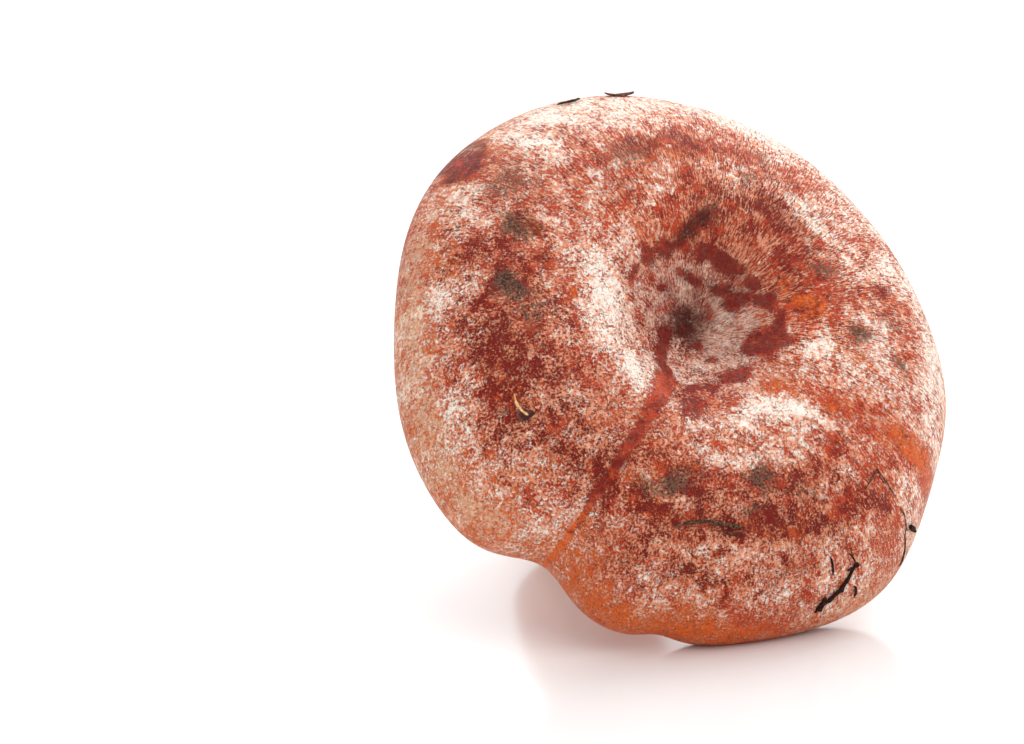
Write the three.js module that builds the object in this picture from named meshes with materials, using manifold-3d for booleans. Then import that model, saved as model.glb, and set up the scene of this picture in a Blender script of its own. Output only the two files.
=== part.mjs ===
// A saffron milk cap as picked, lying on a surface: it leans on the rim of its cap and on the
// cut end of its stem. Millimetres, +Z up, and the surface is the plane z = 0.
//
// The mushroom is one piece of flesh. It is shaped upright about its own axis, with the plane of
// the cap's margin at height 0, the crown above it and the stem below. It is then tipped over
// until margin and stem rest on the surface, where both are pressed flat by the same small depth.
// Scraps of forest litter lie on the cap, each a separate piece a hair's breadth above the skin.

import * as THREE from 'three';
import { mergeVertices } from 'three/addons/utils/BufferGeometryUtils.js';
import Module from 'manifold-3d';

// Cap, seen from above
const capRadius = 48;
const crownHeight = 21.6; // top of the dome above the margin plane, as if it had no dish
const shoulderHeight = 2.9; // where the dome turns over into the rolled margin
const domeFullness = 4; // a higher power gives a flatter crown with a steeper edge
const domeShoulder = 0.69; // a lower power gives a rounder shoulder
const dishDepth = 8.6;
const dishRadius = 12.5;

// A shallow crease runs over the cap from the dish towards the margin
const creaseAngle = 226;
const creaseDepth = 0.7;
const creaseWidth = 2.2;

// Lobes and bays of the margin: where they are in degrees, how wide, and how far they stand out
const marginLobes = [
  { angle: 28, spread: 14, reach: -0.5 },
  { angle: 90, spread: 18, reach: 0.7 },
  { angle: 163, spread: 25, reach: -2.7 },
  { angle: 226, spread: 10, reach: -5.8 },
  { angle: 253, spread: 5, reach: -1.3 },
  { angle: 300, spread: 18, reach: 2.2 },
  { angle: 345, spread: 14, reach: 1.2 },
];
const marginWaveCount = 3;
const marginWaveHeight = 0.5;

// Rolled margin and underside
const marginThickness = 5.2;
const marginDrop = 5; // how far the rolled edge hangs below the dome's shoulder
const capThickness = 10.5; // flesh and gills together, where the gills' edges stand highest
const gillArchRadius = 31; // radius of that ring
const gillRise = 0.8; // share of the arch's height reached halfway in from the margin
const gillFall = 0.75; // share of it left halfway from the arch to the neck
const neckHeight = 0.2; // share of it left at the neck
const gillDepth = 2.4;
const gillPleats = 48;

// Stem
const stemRadius = 11.8;
const stemFootRadius = 11.2;
const stemLength = 44.8; // from the margin plane to the cut
const neckFlare = 7; // how far the gills widen the top of the stem
const neckLength = 9; // how far the gills run down below the margin plane
const neckTaper = 0.2; // share of the flare left where the gills' edges turn down the stem
const neckTurn = 0.6; // share of the neck's length at which they do
const stemBend = 2.2;
const cutSlant = 8; // degrees from square

// Litter lies on the cap: where its middle is, as a share of the cap's radius and an angle, and how
// far it is turned from the way outwards. Bow is how far a strand's middle stands off the line
// between its ends, and bend is 2 for an even curve and 1 for a sharp fold.
const litterClearance = 0.3;
const skinStep = 0.25; // in millimetres and degrees, the step in which the skin's slope is taken
const strandStep = 1.5;
const strandLeastSteps = 4;
const strandRoutePoints = 7;
const strandSides = 4;
const strandRoughness = 0.8;
const strands = [
  { name: 'twig_sliver', color: 0x3a221c, thickness: 1.1,
    share: 0.925, angle: 288, turn: -66, length: 8, bow: 0.8, bend: 2 },
  { name: 'bark_shred_high', color: 0x40251d, thickness: 0.5,
    share: 0.88, angle: 287, turn: 0, length: 2.4, bow: 0.1, bend: 2 },
  { name: 'bark_shred_low', color: 0x40251d, thickness: 0.5,
    share: 0.96, angle: 292, turn: 0, length: 1.2, bow: 0.2, bend: 2 },
  { name: 'pine_needle', color: 0x6b5040, thickness: 0.7,
    share: 0.73, angle: 256, turn: 95, length: 12.5, bow: 0.3, bend: 2 },
  { name: 'split_needle', color: 0x6b5040, thickness: 0.45,
    share: 0.79, angle: 306, turn: 50, length: 7, bow: 3.5, bend: 1 },
  { name: 'rootlet', color: 0x6a3a2a, thickness: 0.4,
    share: 0.96, angle: 307, turn: -40, length: 3.5, bow: 0.8, bend: 2 },
  { name: 'moss_hair', color: 0x5a3020, thickness: 0.4,
    share: 0.95, angle: 97, turn: 90, length: 4.5, bow: 0.5, bend: 2 },
];
const flakes = [
  { name: 'bark_crumb', color: 0x40251d, thickness: 0.6,
    share: 0.945, angle: 311, turn: 30, length: 2, width: 1 },
  { name: 'leaf_flake', color: 0x5a3020, thickness: 0.6,
    share: 0.94, angle: 86, turn: 90, length: 5.4, width: 2 },
  { name: 'bud_scale', color: 0xc98a62, thickness: 0.4,
    share: 0.745, angle: 199, turn: 150, length: 3, width: 2 },
];
const flakeCorners = 9;
const flakeRaggedness = 0.2;
const flakeLobes = 3;
const flakeSkew = 0.7; // in radians, how far the lobes are turned from the flake's length
const flakeRoughness = 0.85;

// How it lies: how much of the rim and of the cut end is pressed flat
const pressDepth = 0.45;
const levelRounds = 8; // rounds in which the resting tip is found
const blockSpan = 6; // side of the block that presses it flat, in mushroom lengths

// Fineness of the surfaces
const topRings = 15;
const marginRings = 4;
const undersideRings = 9;
const stemRings = 5;
const columns = 2 * gillPleats;

const fleshColor = 0xc8704a;
const fleshRoughness = 0.65;

const wasm = await Module();
wasm.setup();

function matte(color, roughness) {
  return new THREE.MeshStandardMaterial({ color, roughness, metalness: 0 });
}

function radians(degrees) {
  return THREE.MathUtils.degToRad(degrees);
}

// From the second angle to the first, between -180 and 180 degrees
function angleBetween(first, second) {
  return ((first - second + 540) % 360) - 180;
}

function bell(distance, width) {
  return Math.exp(-Math.pow(distance / width, 2));
}

// How far the margin stands out at an angle
function marginReach(angle) {
  return marginLobes.reduce((sum, lobe) => {
    return sum + lobe.reach * bell(angleBetween(angle, lobe.angle), lobe.spread);
  }, 0);
}

function domeHeight(radius) {
  const share = Math.min(radius / capRadius, 1);
  const dome = Math.pow(1 - Math.pow(share, domeFullness), domeShoulder);
  return shoulderHeight + (crownHeight - shoulderHeight) * dome;
}

function topStation(radius) {
  return { zone: 'top', radius, height: domeHeight(radius) - dishDepth * bell(radius, dishRadius) };
}

// Depth of the crease at a point of the cap: none in the middle and none at the margin
function crease(radius, angle) {
  const offset = radians(angleBetween(angle, creaseAngle));
  if (Math.cos(offset) < 0) return 0;
  const along = Math.sin(Math.PI * Math.min(radius / capRadius, 1));
  return creaseDepth * along * bell(radius * Math.sin(offset), creaseWidth);
}

// The profile runs from the middle of the dish over the margin and along the gills' edges to the
// cut end. Each station has a zone, a radius and a height.
function topStations() {
  return Array.from({ length: topRings }, (_, ring) => {
    return topStation(capRadius * Math.sin((Math.PI / 2) * (ring / topRings)));
  });
}

// Half an ellipse, from the shoulder outside, round the rolled edge, to the same height inside
function marginStations() {
  return Array.from({ length: marginRings + 1 }, (_, ring) => {
    const turn = (Math.PI * ring) / marginRings;
    return {
      zone: 'margin',
      radius: capRadius - (marginThickness / 2) * (1 - Math.cos(turn)),
      height: shoulderHeight - marginDrop * Math.sin(turn),
    };
  });
}

// The gills' edges rise from the margin to an arch and run down on the stem
function gillStations() {
  const inner = capRadius - marginThickness;
  const arch = domeHeight(gillArchRadius) - capThickness;
  const neck = stemRadius + neckFlare;
  const halfway = (near, far) => (near + far) / 2;
  const edges = new THREE.SplineCurve([
    new THREE.Vector2(inner, shoulderHeight),
    new THREE.Vector2(
      halfway(inner, gillArchRadius),
      THREE.MathUtils.lerp(shoulderHeight, arch, gillRise),
    ),
    new THREE.Vector2(gillArchRadius, arch),
    new THREE.Vector2(halfway(gillArchRadius, neck), gillFall * arch),
    new THREE.Vector2(neck, neckHeight * arch),
    new THREE.Vector2(stemRadius + neckTaper * neckFlare, -neckTurn * neckLength),
    new THREE.Vector2(stemRadius, -neckLength),
  ]);
  const count = undersideRings + 1;
  return edges.getPoints(count).slice(1).map((point, index) => ({
    zone: 'gills',
    radius: point.x,
    height: point.y,
    pleat: gillDepth * Math.sqrt(Math.sin((Math.PI * (index + 1)) / count)),
  }));
}

function stemStations() {
  const side = Array.from({ length: stemRings }, (_, ring) => ({
    zone: 'stem',
    radius: THREE.MathUtils.lerp(stemRadius, stemFootRadius, (ring + 1) / stemRings),
    height: THREE.MathUtils.lerp(-neckLength, -stemLength, (ring + 1) / stemRings),
  }));
  return [...side, { zone: 'stem', radius: 0, height: -stemLength }];
}

// Where a station lies at an angle, with the margin's lobes and waves, the crease and the pleats
function capPoint(station, angle, inPleat) {
  const turn = radians(angle);
  const outward = Math.pow(station.radius / capRadius, 2);
  const radius = station.radius + outward * marginReach(angle);
  const wave = marginWaveHeight * Math.sin(marginWaveCount * turn) * Math.pow(outward, 3);
  let height = station.height + wave;
  if (station.zone === 'top') height -= crease(station.radius, angle);
  if (inPleat && station.zone === 'gills') height += station.pleat;
  return new THREE.Vector3(radius * Math.cos(turn), radius * Math.sin(turn), height);
}

// The same on the stem, which slants towards its cut
function stemPoint(station, angle) {
  const turn = radians(angle);
  const along = (-station.height - neckLength) / (stemLength - neckLength);
  const slant = along * along * Math.tan(radians(cutSlant)) * station.radius * Math.sin(turn);
  return new THREE.Vector3(
    station.radius * Math.cos(turn),
    station.radius * Math.sin(turn),
    station.height + slant,
  );
}

function surfacePoint(station, angle, inPleat) {
  const isStem = station.zone === 'stem';
  const point = isStem ? stemPoint(station, angle) : capPoint(station, angle, inPleat);
  const down = Math.max(0, -station.height / stemLength);
  point.x += stemBend * down * down;
  return point;
}

// One closed skin over all stations, with a single point at each end of the axis
function mushroomGeometry() {
  const stations = [topStations(), marginStations(), gillStations(), stemStations()].flat();
  const rings = stations.slice(1, -1);
  const corners = [surfacePoint(stations[0], 0, false)];
  rings.forEach((station) => {
    for (let column = 0; column < columns; column += 1) {
      corners.push(surfacePoint(station, (360 * column) / columns, column % 2 === 1));
    }
  });
  corners.push(surfacePoint(stations[stations.length - 1], 0, false));

  const last = corners.length - 1;
  const at = (ring, column) => 1 + ring * columns + (column % columns);
  const faces = [];
  for (let column = 0; column < columns; column += 1) {
    faces.push(0, at(0, column), at(0, column + 1));
    for (let ring = 0; ring < rings.length - 1; ring += 1) {
      faces.push(at(ring, column), at(ring + 1, column), at(ring + 1, column + 1));
      faces.push(at(ring, column), at(ring + 1, column + 1), at(ring, column + 1));
    }
    faces.push(last, at(rings.length - 1, column + 1), at(rings.length - 1, column));
  }
  const geometry = new THREE.BufferGeometry().setFromPoints(corners);
  geometry.setIndex(faces);
  return geometry;
}

function toSolid(geometry) {
  const bare = geometry.clone();
  bare.deleteAttribute('normal');
  bare.deleteAttribute('uv');
  const merged = mergeVertices(bare);
  return new wasm.Manifold(new wasm.Mesh({
    numProp: 3,
    vertProperties: merged.attributes.position.array,
    triVerts: new Uint32Array(merged.index.array),
  }));
}

function toGeometry(solid) {
  const mesh = solid.getMesh();
  const geometry = new THREE.BufferGeometry();
  geometry.setAttribute('position', new THREE.BufferAttribute(mesh.vertProperties, 3));
  geometry.setIndex(new THREE.BufferAttribute(mesh.triVerts, 1));
  geometry.computeVertexNormals();
  return geometry;
}

function pointsOf(geometry) {
  const position = geometry.attributes.position;
  return Array.from({ length: position.count }, (_, index) => {
    return new THREE.Vector3().fromBufferAttribute(position, index);
  });
}

function heightWhenTipped(point, tip) {
  return point.y * Math.sin(tip) + point.z * Math.cos(tip);
}

function lowestPoint(points, tip) {
  return points.reduce((low, point) => {
    return heightWhenTipped(point, tip) < heightWhenTipped(low, tip) ? point : low;
  });
}

// The angle about X at which the rim and the cut end of the stem are level, and their height
function restingTip(geometry) {
  const points = pointsOf(geometry);
  const rim = points.filter((point) => point.z > -neckLength);
  const foot = points.filter((point) => point.z <= -neckLength);
  let tip = Math.atan2(stemLength, capRadius - stemFootRadius);
  for (let round = 0; round < levelRounds; round += 1) {
    const rimLow = lowestPoint(rim, tip);
    const footLow = lowestPoint(foot, tip);
    tip = Math.atan2(rimLow.z - footLow.z, footLow.y - rimLow.y);
  }
  return { tip, low: heightWhenTipped(lowestPoint(points, tip), tip) };
}

// Takes off what would lie below the surface, so that rim and cut end are flat where they rest
function pressFlat(geometry, rest) {
  const size = blockSpan * (capRadius + stemLength);
  const block = new THREE.BoxGeometry(size, size, size);
  block.translate(0, 0, rest.low + pressDepth - size / 2);
  block.rotateX(-rest.tip);
  return toGeometry(toSolid(geometry).subtract(toSolid(block)));
}

// A place on the cap's skin, lifted off it, and the direction straight out of the skin there
function onCap(share, angle, lift) {
  const radius = share * capRadius;
  const at = (r, a) => surfacePoint(topStation(r), a, false);
  const inward = at(radius - skinStep, angle).sub(at(radius + skinStep, angle));
  const around = at(radius, angle + skinStep).sub(at(radius, angle - skinStep));
  const normal = around.cross(inward).normalize();
  return { place: at(radius, angle).addScaledVector(normal, lift), normal };
}

// Where a strand runs, seen from above: an arc or a fold about its middle
function strandRoute({ share, angle, turn, length, bow, bend }) {
  const middle = new THREE.Vector2(share * capRadius, 0);
  return Array.from({ length: strandRoutePoints }, (_, point) => {
    const way = (2 * point) / (strandRoutePoints - 1) - 1;
    const along = (way * length) / 2;
    const aside = bow * (1 - Math.pow(Math.abs(way), bend));
    const offset = new THREE.Vector2(along, aside).rotateAround(new THREE.Vector2(), radians(turn));
    return middle.clone().add(offset).rotateAround(new THREE.Vector2(), radians(angle));
  });
}

// Needles, hairs and splinters: a thin body that follows its route over the cap
function strandMesh(strand) {
  const { name, color, thickness } = strand;
  const lift = thickness / 2 + litterClearance;
  const points = strandRoute(strand).map((point) => {
    const angle = THREE.MathUtils.radToDeg(point.angle());
    return onCap(point.length() / capRadius, angle, lift).place;
  });
  const path = new THREE.CatmullRomCurve3(points);
  const section = new THREE.Shape();
  section.absarc(0, 0, thickness / 2, 0, 2 * Math.PI, false);
  const geometry = new THREE.ExtrudeGeometry(section, {
    extrudePath: path,
    steps: Math.max(strandLeastSteps, Math.round(path.getLength() / strandStep)),
    curveSegments: strandSides,
    bevelEnabled: false,
  });
  const mesh = new THREE.Mesh(geometry, matte(color, strandRoughness));
  mesh.name = name;
  return mesh;
}

function raggedOutline(length, width) {
  return Array.from({ length: flakeCorners }, (_, corner) => {
    const turn = (2 * Math.PI * corner) / flakeCorners;
    const edge = 1 - flakeRaggedness * Math.sin(flakeLobes * turn + flakeSkew);
    return new THREE.Vector2(
      (length / 2) * edge * Math.cos(turn),
      (width / 2) * edge * Math.sin(turn),
    );
  });
}

// Flakes, crumbs and scales: a thin plate with a ragged outline, flat on the cap
function flakeMesh({ name, color, share, angle, turn, length, width, thickness }) {
  const geometry = new THREE.ExtrudeGeometry(new THREE.Shape(raggedOutline(length, width)), {
    depth: thickness,
    bevelEnabled: false,
  });
  const { place, normal } = onCap(share, angle, litterClearance);
  const mesh = new THREE.Mesh(geometry, matte(color, flakeRoughness));
  mesh.name = name;
  mesh.quaternion.setFromUnitVectors(new THREE.Vector3(0, 0, 1), normal);
  mesh.rotateZ(radians(turn));
  mesh.position.copy(place);
  return mesh;
}

// Tips the upright mushroom over, with its litter, and sets it down in the middle of its footprint
function saffronMilkCap() {
  const upright = mushroomGeometry();
  const rest = restingTip(upright);
  const mushroom = new THREE.Mesh(pressFlat(upright, rest), matte(fleshColor, fleshRoughness));
  mushroom.name = 'mushroom';

  const lying = new THREE.Group();
  lying.add(mushroom, ...strands.map(strandMesh), ...flakes.map(flakeMesh));
  lying.rotation.x = rest.tip;
  const box = new THREE.Box3().setFromObject(lying, true);
  const middle = box.getCenter(new THREE.Vector3());
  lying.position.set(-middle.x, -middle.y, -box.min.z);

  const part = new THREE.Group();
  part.add(lying);
  return part;
}

export default saffronMilkCap();
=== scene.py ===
"""Looks of a saffron milk cap that lies on its rim and on the cut end of its stem.

Lengths in the shape functions are millimetres in the mushroom's own upright frame, as in the CAD
model: the axis is Z, the plane of the margin is height 0, the stem hangs below it. The finished
points are tipped over, set down where the CAD node lies and turned into metres.
"""

import itertools
import math

import bpy
import numpy as np
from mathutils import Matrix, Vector


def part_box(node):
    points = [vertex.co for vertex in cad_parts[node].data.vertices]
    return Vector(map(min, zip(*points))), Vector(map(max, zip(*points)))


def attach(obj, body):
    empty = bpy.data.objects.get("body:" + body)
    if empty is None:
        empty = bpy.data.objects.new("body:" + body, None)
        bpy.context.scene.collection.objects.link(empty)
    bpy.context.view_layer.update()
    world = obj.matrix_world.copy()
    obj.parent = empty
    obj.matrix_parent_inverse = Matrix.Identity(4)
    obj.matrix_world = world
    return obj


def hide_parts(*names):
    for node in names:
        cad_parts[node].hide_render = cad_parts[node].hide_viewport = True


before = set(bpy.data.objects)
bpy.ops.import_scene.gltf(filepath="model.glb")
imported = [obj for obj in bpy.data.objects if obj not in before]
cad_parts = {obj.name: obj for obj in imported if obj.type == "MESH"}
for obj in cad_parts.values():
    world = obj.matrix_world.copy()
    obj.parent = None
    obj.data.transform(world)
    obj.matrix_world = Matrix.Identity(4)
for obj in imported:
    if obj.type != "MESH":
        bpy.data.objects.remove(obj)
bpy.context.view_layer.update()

MM = 0.001

# The CAD model's sizes, repeated
CAP_RADIUS = 48.0
CROWN_HEIGHT = 21.6
SHOULDER_HEIGHT = 2.9
DOME_FULLNESS = 4.0
DOME_SHOULDER = 0.69
DISH_DEPTH = 8.6
DISH_RADIUS = 12.5
CREASE_ANGLE = 226.0
CREASE_DEPTH = 0.7
CREASE_WIDTH = 2.2
MARGIN_LOBES = (
    (28, 14, -0.5), (90, 18, 0.7), (163, 25, -2.7), (226, 10, -5.8),
    (253, 5, -1.3), (300, 18, 2.2), (345, 14, 1.2),
)
MARGIN_WAVE_COUNT = 3
MARGIN_WAVE_HEIGHT = 0.5
MARGIN_THICKNESS = 5.2
MARGIN_DROP = 5.0
CAP_THICKNESS = 10.5
GILL_ARCH_RADIUS = 31.0
GILL_RISE = 0.8  # share of the arch's height reached halfway in from the margin
GILL_FALL = 0.75  # share of it left halfway from the arch to the neck
NECK_HEIGHT = 0.2  # share of it left at the neck
STEM_RADIUS = 11.8
STEM_FOOT_RADIUS = 11.2
STEM_LENGTH = 44.8
NECK_FLARE = 7.0
NECK_LENGTH = 9.0
NECK_TAPER = 0.2  # share of the flare left where the gills' edges turn down the stem
NECK_TURN = 0.6  # share of the neck's length at which they do
STEM_BEND = 2.2
CUT_SLANT = 8.0
PRESS_DEPTH = 0.45

# How finely the resting tip and the footprint are worked out
LEVEL_ROUNDS = 8
REST_DIRECTIONS = 1440
BOX_DIRECTIONS = 720
BOX_RINGS = 200
LIP_STEPS = 25

NOISE_TABLE = 4096  # a power of two
NOISE_SHIFT = 1024  # where in the table the cell at the origin starts

# The cap's mesh
CAP_COLUMNS = 480
CAP_RINGS = 132
CAP_CROWDING = 0.35  # how strongly the rings crowd towards the margin
LIP_RINGS = 26
LIP_LENGTH = 8.0  # along the rolled margin
INNER_KNOTS = 9  # the face inside the flesh uses a few of these points over the gills
INNER_RINGS = 6
INNER_COVER = 0.6  # how far above the bottom of the gills it lies
INNER_RUN = 60.0
UNDER_BLOOM = 0.25  # how much less bloom the rolled margin has underneath
UNDER_ORANGE = 0.5  # and how much more orange

# Gills of the looks, finer and deeper than the CAD model's pleats: long ones from the margin to the
# stem, and a short one between each pair. Widths and shifts are shares of the pitch, reaches and
# fades shares of a long gill's length.
GILL_COUNT = 116
GILL_DEPTH = 3.6
GILL_COLUMNS = 12
GILL_ROWS = 46
GILL_SEED = 7
GILL_SHIFT = 0.12
GILL_WAVE = 0.55
GILL_NOISE_ROUND = 6.0  # how often the gills' noise changes round the axis
GILL_NOISE_ALONG = 5.0  # and along a gill
GILL_HALF_WIDTH = 0.11
GILL_FLANK = 1.5  # at 1.5 half widths from its middle a gill ends
GILL_ENDS = 0.45  # a lower power keeps the gills deep nearer to their ends
CREST_HEIGHT = 0.048
CREST_NOISE = 0.1
CREST_NOISE_SCALE = 3.0
STUB_SHARE = 0.45  # of the short gills are stubs
STUB_REACH = (0.1, 0.22)
SHORT_REACH = (0.3, 0.55)
SHORT_FADE = 0.12
SHORT_HEIGHT = 0.9
BACK_STEP = 4  # the gills' hidden back has a ring for every fourth of the front
BACK_COVER = 1.2

# The stem's mesh and skin
STEM_COLUMNS = 160
STEM_RINGS = 110
STEM_TOP = 4.0  # how far it reaches up into the cap
STEM_ROUGHNESS = 0.16
STEM_FINE_ROUGHNESS = 0.1
PIT_EDGE = (0.52, 0.8)
PIT_DEPTH = 0.35
CUT_EASE = 2.0  # over this length the skin smooths out towards the cut
CUT_ROUNDING = 0.3
CUT_SHARES = (0.94, 0.8, 0.6, 0.4, 0.2)

# Where each strand of litter lies, as in the CAD model: its middle as a share of the cap's radius and
# an angle, its turn from the way outwards, its length, its bow, and 2 for a curve or 1 for a fold.
# The last is the pale curled edge of the bud scale, which the CAD model has not.
STRANDS = {
    "twig_sliver": (0.925, 288, -66, 8.0, 0.8, 2),
    "bark_shred_high": (0.88, 287, 0, 2.4, 0.1, 2),
    "bark_shred_low": (0.96, 292, 0, 1.2, 0.2, 2),
    "pine_needle": (0.73, 256, 95, 12.5, 0.3, 2),
    "split_needle": (0.79, 306, 50, 7.0, 3.5, 1),
    "rootlet": (0.96, 307, -40, 3.5, 0.8, 2),
    "moss_hair": (0.95, 97, 90, 4.5, 0.5, 2),
    "bud_scale": (0.73, 197, -80, 5.0, 0.8, 2),
}
# Flakes: share, angle, turn, length, width, thickness
FLAKES = {
    "bark_crumb": (0.945, 311, 30, 2.0, 1.0, 0.6),
    "leaf_flake": (0.94, 86, 90, 5.4, 2.0, 0.3),
    "bud_scale": (0.745, 199, 150, 3.0, 2.0, 0.2),
}
STRAND_SIDES = 12
STRAND_RINGS_PER_MM = 6
STRAND_LEAST_RINGS = 14
STRAND_TAPER = 0.85
KNOT_SPACING = 1.6
KNOT_HEIGHT = 0.35
BARK_ROUGHNESS = 0.4
GRAIN_SIZE = 0.7
FLAKE_COLUMNS = 48
FLAKE_RAGGEDNESS = 0.2
FLAKE_LOBE_SIZE = 0.45
FLAKE_BUMP = 0.12
FLAKE_BUMP_SIZE = 0.8
FLAKE_LIFT = 0.75  # of its thickness, how high a flake's middle lies over the skin
# From the middle of the top round the edge to the middle of the underside: how far out, which side
FLAKE_RINGS = (
    (0.25, 1), (0.5, 1), (0.75, 1), (0.93, 0.8), (1.0, 0),
    (0.93, -0.8), (0.75, -1), (0.5, -1), (0.25, -1),
)
SLOPE_STEP = 0.002  # of the cap's radius, the step in which the skin's slope is taken
SLOPE_TURN = 0.2  # the same round the axis, in degrees

FILL_LIGHT = 0.78  # how bright the white studio round the mushroom is; the camera sees it as white

# Camera
CAMERA_AZIMUTH = -27.0
CAMERA_ELEVATION = 14.0
CAMERA_DISTANCE = 0.76
CAMERA_LENS = 165.7
LOOK_LEFT = 0.0235  # the view's middle lies this far left of the mushroom's

# Lamps and floor, in metres
LIT_POINT = (0, 0, 0.03)
FLOOR_REACH = 4
FLOOR_COLOR = (0.95, 0.95, 0.95, 1)
FLOOR_ROUGHNESS = 0.2


# ---- shape


def bell(distance, width):
    return np.exp(-np.square(distance / width))


def angle_between(first, second):
    """From the second angle to the first, between -180 and 180 degrees."""
    return (first - second + 540.0) % 360.0 - 180.0


def margin_reach(angle):
    """How far the margin stands out at an angle in degrees."""
    return sum(reach * bell(angle_between(angle, at), spread) for at, spread, reach in MARGIN_LOBES)


def dome_height(radius):
    share = np.clip(radius / CAP_RADIUS, 0.0, 1.0)
    dome = np.power(1.0 - np.power(share, DOME_FULLNESS), DOME_SHOULDER)
    return SHOULDER_HEIGHT + (CROWN_HEIGHT - SHOULDER_HEIGHT) * dome


def top_height(radius):
    return dome_height(radius) - DISH_DEPTH * bell(radius, DISH_RADIUS)


def crease(radius, angle):
    offset = np.radians(angle_between(angle, CREASE_ANGLE))
    along = np.sin(math.pi * np.clip(radius / CAP_RADIUS, 0.0, 1.0))
    facing = np.cos(offset) > 0
    return facing * CREASE_DEPTH * along * bell(radius * np.sin(offset), CREASE_WIDTH)


def ring_points(radius, height, angle):
    """Points at a radius, a height and an angle in degrees, each a number or an array."""
    radius, height, turn = np.broadcast_arrays(radius, height, np.radians(angle))
    return np.stack([radius * np.cos(turn), radius * np.sin(turn), height], -1)


def cap_points(radius, height, angle, creased=False):
    """Points of the cap at profile radius and height, with the margin's lobes and waves."""
    outward = np.square(radius / CAP_RADIUS)
    wave = MARGIN_WAVE_HEIGHT * np.sin(MARGIN_WAVE_COUNT * np.radians(angle)) * outward**3
    dent = crease(radius, angle) if creased else 0
    return ring_points(radius + outward * margin_reach(angle), height + wave - dent, angle)


def bent(points, height):
    """The stem's bend, by how far down on the axis a point is."""
    down = np.clip(-height / STEM_LENGTH, 0.0, None)
    points[..., 0] += STEM_BEND * down * down
    return points


def catmull_rom(knots, count):
    """The same curve as the CAD model's spline: evenly many points between knots."""
    knots = np.array(knots, float)
    t = np.linspace(0, len(knots) - 1, count)
    i = np.minimum(t.astype(int), len(knots) - 2)
    w = (t - i)[:, None]
    p0, p1 = knots[np.maximum(i - 1, 0)], knots[i]
    p2, p3 = knots[i + 1], knots[np.minimum(i + 2, len(knots) - 1)]
    v0, v1 = (p2 - p0) / 2, (p3 - p1) / 2
    return (2 * p1 - 2 * p2 + v0 + v1) * w**3 + (3 * p2 - 3 * p1 - 2 * v0 - v1) * w**2 + v0 * w + p1


def gill_edge_line(count):
    """Radius and height along the gills' edges, from the margin to where they end on the stem."""
    inner = CAP_RADIUS - MARGIN_THICKNESS
    arch = dome_height(GILL_ARCH_RADIUS) - CAP_THICKNESS
    neck = STEM_RADIUS + NECK_FLARE
    rise = SHOULDER_HEIGHT + GILL_RISE * (arch - SHOULDER_HEIGHT)
    return catmull_rom([
        (inner, SHOULDER_HEIGHT),
        ((inner + GILL_ARCH_RADIUS) / 2, rise),
        (GILL_ARCH_RADIUS, arch),
        ((GILL_ARCH_RADIUS + neck) / 2, GILL_FALL * arch),
        (neck, NECK_HEIGHT * arch),
        (STEM_RADIUS + NECK_TAPER * NECK_FLARE, -NECK_TURN * NECK_LENGTH),
        (STEM_RADIUS, -NECK_LENGTH),
    ], count)


def value_noise(points, size, seed):
    """Smooth random numbers between -1 and 1 that change over about size."""
    rng = np.random.default_rng(seed)
    table = rng.uniform(-1, 1, NOISE_TABLE)
    shuffle = rng.permutation(NOISE_TABLE)
    p = points / size
    cell = np.floor(p).astype(int)
    f = p - cell
    f = f * f * f * (f * (f * 6 - 15) + 10)
    total = np.zeros(p.shape[:-1])
    for corner in itertools.product((0, 1), repeat=3):
        c = (cell + corner + NOISE_SHIFT) & (NOISE_TABLE - 1)
        spot = shuffle[c[..., 0]]
        spot = shuffle[(spot + c[..., 1]) & (NOISE_TABLE - 1)]
        height = table[(spot + c[..., 2]) & (NOISE_TABLE - 1)]
        total += height * np.prod(np.where(corner, f, 1 - f), axis=-1)
    return total


def noises(points, *waves):
    """A sum of value noises, each given as size, seed and amount."""
    return sum(amount * value_noise(points, size, seed) for size, seed, amount in waves)


# ---- placing


def directions(count):
    """Angles in degrees, evenly round the axis."""
    return np.linspace(0, 360, count + 1)[:-1]


def lip_points(turn, angle):
    """Points of the rolled margin, turn running from its outer shoulder to its inner edge."""
    radius = CAP_RADIUS - MARGIN_THICKNESS / 2 * (1 - np.cos(turn))
    return cap_points(radius, SHOULDER_HEIGHT - MARGIN_DROP * np.sin(turn), angle)


def stem_points(radius, height, angle):
    """Points of the stem, whose rings slant towards the cut."""
    along = np.clip((-height - NECK_LENGTH) / (STEM_LENGTH - NECK_LENGTH), 0, None)
    slant = along * along * math.tan(math.radians(CUT_SLANT)) * radius * np.sin(np.radians(angle))
    return bent(ring_points(radius, height + slant, angle), height)


def rim_and_foot(count):
    """Points of the rolled margin and of the cut end's edge."""
    angle = directions(count)
    rim = lip_points(np.linspace(0, math.pi, LIP_STEPS)[:, None], angle)
    return rim.reshape(-1, 3), stem_points(STEM_FOOT_RADIUS, -STEM_LENGTH, angle)


def tipped(points, tip):
    """Where upright points lie in Y and Z after a tip about X."""
    y, z = points[..., 1], points[..., 2]
    return y * math.cos(tip) - z * math.sin(tip), y * math.sin(tip) + z * math.cos(tip)


def rest_tip():
    """The tip about X at which rim and cut end are level, and their height, as in the CAD model."""
    parts = rim_and_foot(REST_DIRECTIONS)
    tip = math.atan2(STEM_LENGTH, CAP_RADIUS - STEM_FOOT_RADIUS)
    for _ in range(LEVEL_ROUNDS):
        rim, foot = (points[np.argmin(tipped(points, tip)[1])] for points in parts)
        tip = math.atan2(rim[2] - foot[2], foot[1] - rim[1])
    return tip, tipped(rim, tip)[1]


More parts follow.
